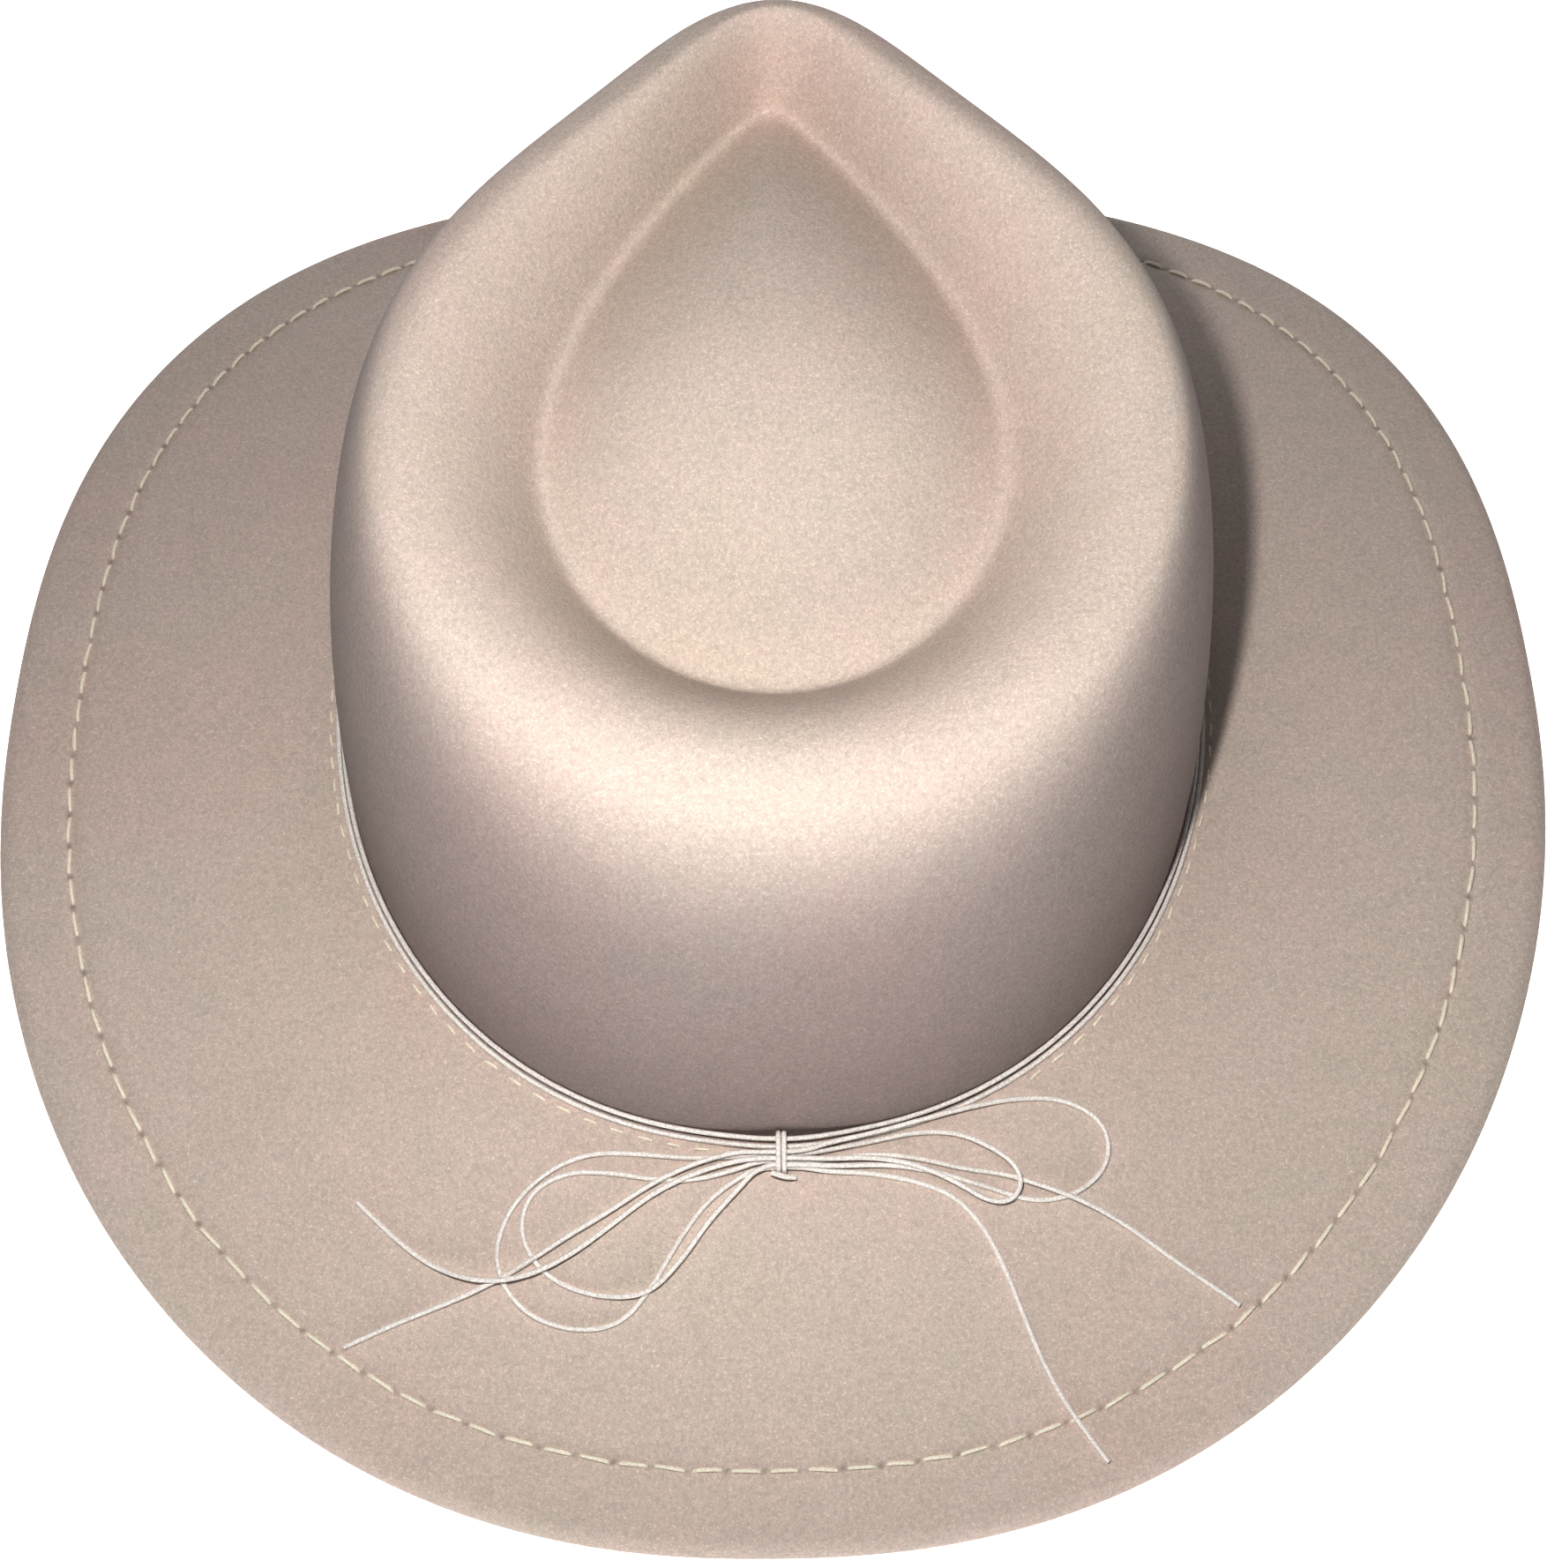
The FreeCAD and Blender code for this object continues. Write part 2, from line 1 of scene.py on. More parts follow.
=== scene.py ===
"""Looks of a western hat with a teardrop crown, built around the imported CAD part.

The row frame is in metres: +Z is up, the pinched front faces -Y, and the bow is at the
rear (+Y). An angle runs from +X towards +Y, so -90 degrees is the front of the hat.
"""
import math
import random

import bpy
import numpy as np
from mathutils import Matrix, Vector

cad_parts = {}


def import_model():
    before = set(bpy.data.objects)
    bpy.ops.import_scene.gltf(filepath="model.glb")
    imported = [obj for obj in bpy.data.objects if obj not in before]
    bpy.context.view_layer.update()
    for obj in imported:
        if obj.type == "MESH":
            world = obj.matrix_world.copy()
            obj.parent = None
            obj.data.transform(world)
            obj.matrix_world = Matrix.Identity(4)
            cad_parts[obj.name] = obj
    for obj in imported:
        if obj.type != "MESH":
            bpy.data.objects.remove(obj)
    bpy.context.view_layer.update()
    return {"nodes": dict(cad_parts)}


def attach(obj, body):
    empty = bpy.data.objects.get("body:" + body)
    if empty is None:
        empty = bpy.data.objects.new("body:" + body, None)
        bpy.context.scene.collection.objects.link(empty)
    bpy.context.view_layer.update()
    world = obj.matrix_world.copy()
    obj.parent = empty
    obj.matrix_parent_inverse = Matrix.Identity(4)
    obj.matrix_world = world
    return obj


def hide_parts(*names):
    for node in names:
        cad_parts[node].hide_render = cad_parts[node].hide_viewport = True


MM = 0.001
FRONT = -math.pi / 2
REAR = math.pi / 2

# ---- Shape of the hat, in metres, as in the CAD source ----
FELT = 2.2 * MM
FOOT_HALF_X = 86.6 * MM
FOOT_HALF_Y = 102.8 * MM
FOOT_POWER = 2.15
FOOT_CENTRE_X = -0.8 * MM
CROWN_CENTRE_Y = -1.9 * MM
FOOT_HEIGHT = 33.0 * MM
FOOT_SADDLE = 3.5 * MM
FOOT_TILT = 3.0 * MM
BRIM_HALF_X = 155.0 * MM
BRIM_HALF_Y = 171.0 * MM
BRIM_POWER = 2.3
EDGE_HEIGHT = 20.5 * MM
EDGE_SADDLE = 17.2 * MM
EDGE_LEAN = 4.2 * MM
BRIM_SWEEP = 0.7
ROLL_RADIUS = 3.3 * MM
CHANNEL_RADIUS = ROLL_RADIUS - FELT + 0.05 * MM
HEM_WIDTH = 17.0 * MM
HEM_GAP = 0.3 * MM
HEM_SINK = 0.45 * MM
HEM_SINK_REACH = 1.3 * MM
HEM_PUCKER = 0.12 * MM
HEM_PUCKER_REACH = 2.6 * MM
NEEDLE_SIZE = 0.62 * MM
RIDGE = {"half_x": 73.2 * MM, "front": 78.6 * MM, "rear": 69.6 * MM, "taper": 0.50, "power": 2.5,
         "shift_x": -3.4 * MM}
RIDGE_HEIGHTS = (114.2 * MM, 130.7 * MM, 142.2 * MM)
CREASE = {"half_x": 48.3 * MM, "front": 72.0 * MM, "rear": 48.2 * MM, "taper": 0.70, "power": 2.04,
          "shift_x": -1.9 * MM}
CREASE_DEPTHS = (15.0 * MM, 18.0 * MM, 21.0 * MM)
WALL_POWER = 1.85
DOME_HEIGHT = 15.0 * MM
DENT_DEPTH = 8.8 * MM
DENT_ANGLE = 42.0
DENT_SPREAD = 24.0
DENT_RISE = 0.72
DENT_TALL = 0.3
FLANGE_WIDTH = 9.0 * MM
HEM_STITCH_INSET = 14.3 * MM
HEM_STITCH_PITCH = 7.0 * MM
HEM_LINE = HEM_STITCH_INSET - ROLL_RADIUS
FLAP_DROP = 2 * FELT + HEM_GAP
FOOT_STITCH_OFFSET = 3.3 * MM
FOOT_STITCH_PITCH = 5.5 * MM
CORD_DIAMETER = 1.0 * MM
LOW_CORD = (1.65 * MM, 0.55 * MM)
HIGH_CORD = (0.55 * MM, 1.5 * MM)
KNOT_X = -2.0 * MM
KNOT_ROOM = 1.05 * MM
KNOT_SPREAD = 6.0
BOW_COVER = (-48 * MM, 6 * MM)

# ---- Mesh counts ----
CROWN_ANGLES = 400
WALL_RINGS = 60
SLOPE_RINGS = 30
FLOOR_RINGS = 34
FLOOR_END = 2.98
INNER_RING_STEP = 3
FOLD_SMOOTHING = 3
BRIM_ANGLES = 900
BRIM_RINGS = 24
SEAM_STEPS = 10
SEAM_STEP = 0.5 * MM
SEAM_HALF = SEAM_STEPS * SEAM_STEP
UNDERSIDE_RINGS = 12
BAND_ANGLES = 720
BAND_SIDES = 12
THREAD_SIDES = 8
THREAD_PLACES = 11
STITCH_SEED = 7

# ---- Painted wall shade: how steep a wall is where the painted shade starts, and over how much more it fills ----
PAINTED_WALL_SHADE_START = 0.22
PAINTED_WALL_SHADE_RANGE = 0.5

# ---- Finishes: each ramp is a list of a place from 0 to 1 and a colour ----
FELT_PATCHES = [(0.3, (0.695, 0.627, 0.58)), (0.5, (0.71, 0.636, 0.588)), (0.7, (0.727, 0.64, 0.598))]
FELT_BLUSH = [(0.35, (0.99, 1.0, 0.985)), (0.5, (1.0, 1.0, 1.0)), (0.66, (1.012, 0.988, 0.99))]
FELT_TUFTS = [(0.3, (0.93, 0.925, 0.925)), (0.5, (1.0, 1.0, 1.0)), (0.7, (1.06, 1.06, 1.06))]
# Single fibres: darker and lighter tone, with the brightest flecks as painted glints.
FELT_FIBRES_AND_GLINTS = [(0.3, (0.95, 0.95, 0.95)), (0.55, (1.0, 1.0, 1.0)), (0.72, (1.2, 1.2, 1.21))]
# Painted shade: darkens the crown's steep outer wall, where it stands in for shade, not for a colour
# of the felt.
PAINTED_WALL_SHADE = [(0.0, (1.0, 1.0, 1.0)), (1.0, (0.66, 0.655, 0.675))]
# Painted shade in the needle holes of the hem's seam: darker spots where the thread goes into the
# felt.
PAINTED_NEEDLE_HOLE_SHADE = [(0.1, (1.0, 1.0, 1.0)), (0.9, (0.72, 0.69, 0.67))]
CORD_COLOR = (0.90, 0.87, 0.84)
THREAD_COLOR = (0.94, 0.90, 0.80)
COTTON_COLOR = (0.62, 0.52, 0.43)
LABEL_COLOR = (0.84, 0.82, 0.78)
STEEL_COLOR = (0.62, 0.62, 0.63, 1)

# ---- Stage and light, in metres and watts ----
STAGE_COLOR = (0.93, 0.93, 0.93, 1)
STAGE_GLOW = 0.85
FLOOR_HALF = 22.0
BACKDROP_RADIUS = 20.0
BACKDROP_HEIGHT = 3.6
BACKDROP_SIDES = 48
LIGHTS = {
    "key": {"place": (0.026, 0.215, 0.425), "aim": (0, 0.03, 0.03), "size": 0.02,
            "watts": 1.28, "color": (1.0, 0.99, 0.975)},
    "overhead": {"place": (0.0, 0.0, 1.3), "aim": (0, 0, 0), "size": 1.0,
                 "watts": 2.0, "color": (1.0, 0.99, 0.98)},
    "front_fill": {"place": (0.0, -0.9, 0.25), "aim": (0, 0, 0.08), "size": 0.8,
                   "watts": 2.6, "color": (0.95, 0.97, 1.0)},
}
WORLD_COLOR = (0.93, 0.96, 1.0, 1)
WORLD_STRENGTH = 0.12
VIEW_GAMMA = 0.56

# ---- Camera: above and behind the hat ----
CAMERA_SENSOR = 36
CAMERA_LENS = 58.96
CAMERA_ELEVATION = 57.94
CAMERA_ROLL = -0.575
CAMERA_DISTANCE = 526.9 * MM
CAMERA_TARGET = Vector((-1.25, 19.55, 26.2)) * MM


def make_camera():
    climb = math.radians(CAMERA_ELEVATION)
    roll = math.radians(CAMERA_ROLL)
    back = Vector((0, math.cos(climb), math.sin(climb)))
    right = Vector((-1, 0, 0))
    up = Vector((0, -math.sin(climb), math.cos(climb)))
    rolled_right = right * math.cos(roll) + up * math.sin(roll)
    rolled_up = up * math.cos(roll) - right * math.sin(roll)
    turn = Matrix((rolled_right, rolled_up, back)).transposed().to_4x4()
    data = bpy.data.cameras.new("camera")
    data.sensor_width = CAMERA_SENSOR
    data.lens = CAMERA_LENS
    data.clip_start = 0.01
    camera = bpy.data.objects.new("camera", data)
    camera.matrix_world = Matrix.Translation(CAMERA_TARGET + back * CAMERA_DISTANCE) @ turn
    bpy.context.scene.collection.objects.link(camera)
    bpy.context.scene.camera = camera


# ---- Cords of the bow: control points in millimetres, the same as in the CAD source. They were
# picked, set just above the brim, and then moved for clearance and bend. ----
BOW_ROUTES = {
    "loop_left_outer": [
        (-2.0, 105.0, 33.4), (2.0, 105.0, 33.4), (7.1, 105.1, 32.8), (15.3, 105.2, 32.3),
        (24.3, 104.1, 32.3), (34.2, 103.7, 32.1), (43.2, 107.6, 30.4), (49.7, 114.6, 27.3),
        (51.3, 122.9, 23.8), (46.3, 130.3, 20.8), (37.3, 133.7, 19.7), (28.1, 133.1, 20.3),
        (22.2, 127.2, 23.5), (17.6, 120.0, 27.0), (12.1, 113.0, 30.0), (6.3, 109.1, 31.8),
        (2.0, 107.3, 32.9), (-2.0, 107.3, 32.9)],
    "loop_left_inner": [
        (-2.0, 106.15, 33.2), (2.0, 106.15, 33.2), (7.1, 107.7, 32.2), (14.5, 109.1, 31.2),
        (21.8, 108.8, 31.1), (29.4, 107.4, 31.3), (37.4, 106.9, 31.0), (44.5, 110.0, 29.5),
        (46.7, 116.3, 26.9), (44.0, 122.3, 24.6), (38.2, 126.5, 23.0), (30.0, 128.6, 22.9),
        (22.6, 128.4, 24.1), (16.6, 123.1, 26.9), (11.7, 116.6, 29.5), (6.3, 111.5, 32.1),
        (2.0, 107.3, 34.05), (-2.0, 107.3, 34.05)],
    "loop_right_outer": [
        (-2.0, 105.0, 34.55), (-6.0, 105.0, 34.55), (-11.0, 103.1, 34.5), (-19.0, 101.3, 34.3),
        (-27.5, 99.0, 34.6), (-36.0, 96.5, 34.4), (-45.7, 94.2, 33.8), (-55.4, 94.2, 33.3),
        (-62.5, 98.4, 31.9), (-63.4, 105.3, 29.9), (-57.9, 111.0, 28.4), (-49.3, 113.0, 28.3),
        (-40.2, 110.4, 29.8), (-30.8, 107.7, 31.2), (-21.5, 106.6, 32.1), (-12.1, 107.3, 33.2),
        (-6.0, 107.3, 34.05), (-2.0, 107.3, 34.05)],
    "loop_right_inner": [
        (-2.0, 105.0, 33.4), (-6.0, 105.0, 33.4), (-10.9, 104.0, 33.0), (-19.0, 102.4, 32.9),
        (-27.0, 100.6, 33.1), (-34.6, 100.8, 33.2), (-40.3, 103.4, 33.2), (-45.1, 106.6, 32.4),
        (-46.6, 110.0, 31.2), (-44.6, 113.3, 30.0), (-40.0, 113.3, 30.1), (-34.6, 110.1, 31.5),
        (-27.4, 107.1, 32.8), (-19.3, 105.7, 33.5), (-10.8, 106.15, 33.8), (-6.0, 106.15, 34.35),
        (-2.0, 106.15, 34.35)],
    "tail_left_upper": [
        (-2.0, 106.15, 34.35), (2.0, 106.15, 34.35), (6.6, 106.3, 33.7), (14.5, 108.3, 32.6),
        (22.1, 111.7, 31.3), (29.6, 116.9, 29.0), (37.2, 121.9, 26.9), (45.6, 125.5, 25.4),
        (54.3, 125.9, 24.7), (63.0, 122.4, 23.6), (70.3, 117.0, 24.7), (77.1, 110.7, 26.4)],
    "tail_left_lower": [
        (-2.0, 105.0, 34.55), (2.0, 105.0, 34.55), (6.6, 104.7, 34.1), (14.5, 106.6, 33.1),
        (22.1, 109.9, 31.9), (29.9, 114.5, 29.9), (38.1, 118.7, 27.7), (46.2, 123.3, 25.2),
        (55.2, 127.2, 22.6), (63.9, 129.9, 20.3), (71.6, 132.6, 19.0), (78.8, 135.7, 18.0)],
    "tail_right_upper": [
        (-2.0, 106.15, 33.2), (-6.0, 106.15, 33.2), (-10.5, 105.8, 32.6), (-18.7, 104.5, 32.4),
        (-27.2, 105.3, 32.0), (-35.4, 107.2, 31.1), (-43.5, 108.0, 30.4), (-51.3, 110.6, 30.1),
        (-58.9, 113.3, 28.8), (-67.0, 117.3, 25.7), (-74.2, 122.4, 23.5), (-80.5, 126.5, 22.1),
        (-86.1, 130.5, 21.1)],
    "tail_right_lower": [
        (-2.0, 107.3, 32.9), (-6.0, 107.3, 32.9), (-10.2, 107.9, 32.1), (-18.2, 108.0, 31.5),
        (-26.3, 109.3, 30.9), (-33.6, 111.7, 29.7), (-38.7, 116.4, 27.6), (-42.5, 122.8, 24.6),
        (-45.6, 130.1, 21.2), (-48.6, 137.3, 17.8), (-52.3, 144.4, 14.9), (-56.5, 150.7, 13.0),
        (-60.9, 156.6, 11.9)],
}


def make_cord(name, material):
    points = [Vector(point) * MM for point in BOW_ROUTES[name]]
    data = bpy.data.curves.new(name, "CURVE")
    data.dimensions = "3D"
    spline = data.splines.new("NURBS")
    spline.points.add(len(points) - 1)
    for place, point in zip(spline.points, points):
        place.co = (*point, 1)
    spline.order_u = 3
    spline.use_endpoint_u = True
    spline.resolution_u = 10
    data.bevel_depth = CORD_DIAMETER / 2
    data.bevel_resolution = 3
    data.use_fill_caps = True
    data.materials.append(material)
    cord = bpy.data.objects.new("free_" + name, data)
    bpy.context.scene.collection.objects.link(cord)
    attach(cord, "root")
    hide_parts(name)


# ---- Shape formulas on arrays of angles: each gives points along the last axis ----
def signed_power(value, power):
    return np.sign(value) * np.abs(value) ** power


def stack(x, y, z):
    return np.stack(np.broadcast_arrays(x, y, z), axis=-1)


def shifted(points, x=0.0, y=0.0, z=0.0):
    return points + np.array([x, y, z])


def lifted(points, height):
    return points + stack(0.0, 0.0, height)


def oval(angle, half_x, half_y, power):
    return (half_x * signed_power(np.cos(angle), 2 / power),
            half_y * signed_power(np.sin(angle), 2 / power))


def around(angle, rear, side, front):
    mean = (rear + front) / 4 + side / 2
    return mean + (rear - front) / 2 * np.sin(angle) + (side - mean) * np.cos(2 * angle)


def outward(curve, angle):
    step = 0.01
    along = curve(angle + step) - curve(angle - step)
    normal = stack(along[..., 1], -along[..., 0], 0.0)
    return normal / np.linalg.norm(normal, axis=-1, keepdims=True)


def foot_line(angle):
    x, y = oval(angle, FOOT_HALF_X, FOOT_HALF_Y, FOOT_POWER)
    z = FOOT_HEIGHT + FOOT_SADDLE * np.cos(2 * angle) + FOOT_TILT * np.sin(angle)
    return stack(x + FOOT_CENTRE_X, y + CROWN_CENTRE_Y, z)


def foot(angle, out=0.0):
    return foot_line(angle) + outward(foot_line, angle) * np.expand_dims(out, -1)


def roll_centre(angle):
    x, y = oval(angle, BRIM_HALF_X - ROLL_RADIUS, BRIM_HALF_Y - ROLL_RADIUS, BRIM_POWER)
    z = EDGE_HEIGHT + EDGE_SADDLE * np.cos(2 * angle) - EDGE_LEAN * np.cos(angle) ** 3
    return stack(x, y, z)


def brim_top(angle, share):
    inner = foot_line(angle)
    outer = shifted(roll_centre(angle), z=ROLL_RADIUS)
    share = np.broadcast_to(share, inner.shape[:-1])
    sweep = BRIM_SWEEP * (3 * share ** 2 - 2 * share ** 3) + (1 - BRIM_SWEEP) * share
    across = inner + (outer - inner) * share[..., None]
    height = inner[..., 2] + (outer[..., 2] - inner[..., 2]) * sweep
    return stack(across[..., 0], across[..., 1], height)


def brim_span(angle):
    across = roll_centre(angle) - foot_line(angle)
    return np.hypot(across[..., 0], across[..., 1])


def brim_from_foot(angle, distance, drop=0.0):
    return shifted(brim_top(angle, distance / brim_span(angle)), z=-drop)


def brim_from_roll(angle, distance, drop=0.0):
    return shifted(brim_top(angle, 1 - distance / brim_span(angle)), z=-drop)


def teardrop(angle, half_x, front, rear, taper, power, shift_x):
    forward = -np.sin(angle)
    narrow = 1 - taper * ((1 + forward) / 2) ** power
    x = half_x * np.cos(angle) * narrow + shift_x
    y = CROWN_CENTRE_Y - (front - rear) / 2 - (front + rear) / 2 * forward
    return x, y


def ridge(angle):
    return stack(*teardrop(angle, **RIDGE), around(angle, *RIDGE_HEIGHTS))


def crease(angle):
    height = around(angle, *RIDGE_HEIGHTS) - around(angle, *CREASE_DEPTHS)
    return stack(*teardrop(angle, **CREASE), height)


def dent(angle, rise):
    push = 0.0
    for side in (-1, 1):
        middle = FRONT + side * math.radians(DENT_ANGLE)
        turn = (angle - middle + math.pi) % (2 * math.pi) - math.pi
        depth = DENT_DEPTH * np.exp(-(turn / math.radians(DENT_SPREAD)) ** 2)
        depth = depth * np.exp(-((rise - DENT_RISE) / DENT_TALL) ** 2)
        push = push - stack(math.cos(middle) * depth, math.sin(middle) * depth, 0.0)
    return push


def crown_wall(angle, place):
    low, high = foot_line(angle), ridge(angle)
    rise = math.sin(place * math.pi / 2) ** (2 / WALL_POWER)
    spread = max(math.cos(place * math.pi / 2), 0.0) ** (2 / WALL_POWER)
    across = high + (low - high) * spread
    height = low[..., 2] + (high[..., 2] - low[..., 2]) * rise
    return stack(across[..., 0], across[..., 1], height) + dent(angle, rise)


def crown_slope(angle, place):
    high, low = ridge(angle), crease(angle)
    share = place - 1
    across = high + (low - high) * share
    fall = 1 - math.cos(share * math.pi / 2)
    height = high[..., 2] + (low[..., 2] - high[..., 2]) * fall
    fade = math.cos(share * math.pi / 2) ** 2
    return stack(across[..., 0], across[..., 1], height) + dent(angle, 1) * fade


def crown_floor(angle, place):
    rim = 3 - place
    middle = (crease(np.float64(FRONT)) + crease(np.float64(REAR))) / 2
    return lifted(middle + (crease(angle) - middle) * rim, DOME_HEIGHT * (1 - rim ** 2))


def crown_top(angle, place):
    """Outer face of the crown: foot 0, ridge 1, crease 2, middle of the floor 3."""
    if place <= 1:
        return crown_wall(angle, place)
    if place <= 2:
        return crown_slope(angle, place)
    return crown_floor(angle, place)


# ---- Meshes ----
def mesh_object(name, points, faces, material, replaced=()):
    data = bpy.data.meshes.new(name)
    data.from_pydata(points.tolist(), [], faces)
    data.update()
    data.shade_smooth()
    data.materials.append(material)
    piece = bpy.data.objects.new(name, data)
    bpy.context.scene.collection.objects.link(piece)
    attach(piece, "root")
    if replaced:
        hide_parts(*replaced)
    return piece


def grid_faces(rings, count, closed):
    """Quads between rings of count points each; a closed one joins the last ring to the first."""
    faces = []
    for i in range(rings if closed else rings - 1):
        low = i * count
        high = (i + 1) % rings * count
        for j in range(count):
            after = (j + 1) % count
            faces.append((low + j, low + after, high + after, high + j))
    return faces


def evenly(first, last, steps):
    return [first + (last - first) * i / steps for i in range(steps)]


def smoothed(rings, turns):
    """Rounds a stack of rings across the rings, so that a fold has a soft bend."""
    for _ in range(turns):
        rings[1:-1] = rings[1:-1] * 0.5 + (rings[:-2] + rings[2:]) * 0.25
    return rings


def inner_face(rings, depth):
    """The stack of rings moved inwards along its normals."""
    around_ring = np.roll(rings, -1, axis=1) - np.roll(rings, 1, axis=1)
    across = np.gradient(rings, axis=0)
    normal = np.cross(around_ring, across)
    normal /= np.maximum(np.linalg.norm(normal, axis=-1, keepdims=True), 1e-12)
    return rings - normal * depth


def crown_rings(angle):
    """Rings from inside the top, down the inner face, round the flange and up the outer face."""
    places = evenly(0, 1, WALL_RINGS) + evenly(1, 2, SLOPE_RINGS) + evenly(2, FLOOR_END, FLOOR_RINGS)
    outer = np.stack([crown_top(angle, place) for place in places + [FLOOR_END]])
    outer = smoothed(outer, FOLD_SMOOTHING)
    outer[0] = crown_top(angle, 0)
    inner = inner_face(outer, FELT)[::INNER_RING_STEP][::-1]
    half, full = FLANGE_WIDTH / 2, FLANGE_WIDTH
    flange = [brim_from_foot(angle, distance, 2 * FELT) for distance in (0.0, half, full)]
    flange += [brim_from_foot(angle, distance, FELT + 0.05 * MM) for distance in (full, half)]
    flange.append(shifted(foot_line(angle), z=-FELT))
    first_wall = len(inner) + len(flange)
    return np.concatenate([inner, np.stack(flange), outer]), first_wall


def closed_stack(rings):
    """Points and faces of a stack of rings with a fan of triangles over each end."""
    count = rings.shape[1]
    faces = grid_faces(len(rings), count, False)
    first_tip = len(rings) * count
    last_tip = first_tip + 1
    last = (len(rings) - 1) * count
    for j in range(count):
        after = (j + 1) % count
        faces.append((first_tip, after, j))
        faces.append((last_tip, last + j, last + after))
    tips = np.stack([rings[0].mean(axis=0), rings[-1].mean(axis=0)])
    return np.concatenate([rings.reshape(-1, 3), tips]), faces


def mark_vertices(piece, name, values):
    marks = piece.data.attributes.new(name, "FLOAT", "POINT")
    marks.data.foreach_set("value", values.astype(np.float32))


def mark_painted_wall_shade(crown, first, last):
    """Marks the outer wall by how steep it is, for painted shade. The felt material darkens what is
    marked, to make up for walls that render too bright; it is not a colour of the felt itself."""
    steep = np.array([1 - abs(vertex.normal.z) for vertex in crown.data.vertices])
    tint = np.clip((steep - PAINTED_WALL_SHADE_START) / PAINTED_WALL_SHADE_RANGE, 0, 1)
    on_wall = np.zeros(len(tint))
    on_wall[first:last] = 1
    tint *= on_wall
    # Painted shade on the steep outer wall, eased in smoothly.
    mark_vertices(crown, "painted_wall_shade", tint * tint * (3 - 2 * tint))


def make_crown(material):
    angle = np.arange(CROWN_ANGLES) * 2 * math.pi / CROWN_ANGLES
    rings, first_wall = crown_rings(angle)
    points, faces = closed_stack(rings)
    crown = mesh_object("felt_crown", points, faces, material, ["crown"])
    mark_painted_wall_shade(crown, first_wall * CROWN_ANGLES, (first_wall + WALL_RINGS) * CROWN_ANGLES)


def arc_lengths(angle):
    """Length along the hem's stitch line to each angle, and once round."""
    line = brim_from_roll(np.append(angle, angle[0] + 2 * math.pi), HEM_LINE)
    steps = np.linalg.norm(np.diff(line, axis=0), axis=1)
    return np.concatenate([[0.0], np.cumsum(steps)])


def edge_ring(angle, radius, degrees):
    """A ring round the centre of the rolled edge: 90 degrees is over it and 0 outside it."""
    turn = math.radians(degrees)
    level = outward(roll_centre, angle) * (radius * math.cos(turn))
    return shifted(roll_centre(angle) + level, z=radius * math.sin(turn))


def seam_rings(angle):
    """Rings across the hem's stitch line, sunk and puckered by the thread, and for each ring how
    near its points are to a needle hole, where the felt gets painted shade."""
    travelled = arc_lengths(angle)
    count = round(travelled[-1] / HEM_STITCH_PITCH)
    phase = travelled[:-1] / travelled[-1] * count * 2 * math.pi
    from_gap = (phase / (2 * math.pi) % 1 - 0.5) * HEM_STITCH_PITCH
    rings = []
    needle = []
    for step in range(2 * SEAM_STEPS + 1):
        off = (step - SEAM_STEPS) * SEAM_STEP
        across = math.exp(-(off / NEEDLE_SIZE) ** 2)
        needle.append(across * np.exp(-(from_gap / NEEDLE_SIZE) ** 2))
        sink = HEM_SINK * math.exp(-(off / HEM_SINK_REACH) ** 2)
        pucker = HEM_PUCKER * math.exp(-(off / HEM_PUCKER_REACH) ** 2) * np.cos(phase)
        rings.append(lifted(brim_from_roll(angle, HEM_LINE - off), -sink - pucker * 0.5))
    return rings, needle


def flap_rings(angle):
    """Rings round the flap turned under the brim: distance in from the edge's centre, and drop."""
    end = HEM_WIDTH - ROLL_RADIUS
    upper = FELT + HEM_GAP
    section = [
        (3.5 * MM, 5.6 * MM), (7 * MM, FLAP_DROP + 0.1 * MM), (HEM_LINE - 1 * MM, FLAP_DROP),
        (HEM_LINE, FLAP_DROP - 0.2 * MM), (HEM_LINE + 1 * MM, FLAP_DROP),
        (end - 0.3 * MM, FLAP_DROP), (end, FLAP_DROP - 0.3 * MM), (end, upper),
        (9 * MM, upper), (4 * MM, upper + 0.1 * MM)]
    return [brim_from_roll(angle, distance, drop) for distance, drop in section]


def make_brim(material):
    """One closed section: top, stitched seam, rolled edge, flap, wire channel, underside."""
    angle = np.arange(BRIM_ANGLES) * 2 * math.pi / BRIM_ANGLES
    share_seam = 1 - (HEM_LINE + SEAM_HALF) / brim_span(angle)
    rings = [brim_top(angle, share_seam * i / BRIM_RINGS) for i in range(BRIM_RINGS)]
    needle = [np.zeros(BRIM_ANGLES) for _ in rings]
    seam, seam_needle = seam_rings(angle)
    rings += seam
    needle += seam_needle
    past_seam = HEM_LINE - SEAM_HALF
    rings += [brim_from_roll(angle, past_seam - past_seam * i / 6) for i in range(1, 6)]
    rings += [edge_ring(angle, ROLL_RADIUS, degrees) for degrees in range(90, -91, -15)]
    rings += flap_rings(angle)
    rings += [edge_ring(angle, CHANNEL_RADIUS, degrees) for degrees in range(180, 451, 45)]
    underside = reversed(evenly(0, 0.94, UNDERSIDE_RINGS))
    rings += [shifted(brim_top(angle, share), z=-FELT) for share in underside]
    needle += [np.zeros(BRIM_ANGLES) for _ in range(len(rings) - len(needle))]
    points = np.stack(rings).reshape(-1, 3)
    faces = [face[::-1] for face in grid_faces(len(rings), BRIM_ANGLES, True)]
    brim = mesh_object("felt_brim", points, faces, material, ["brim"])
    # The needle mark paints shade into the needle holes along the seam.
    mark_vertices(brim, "needle", np.concatenate(needle))


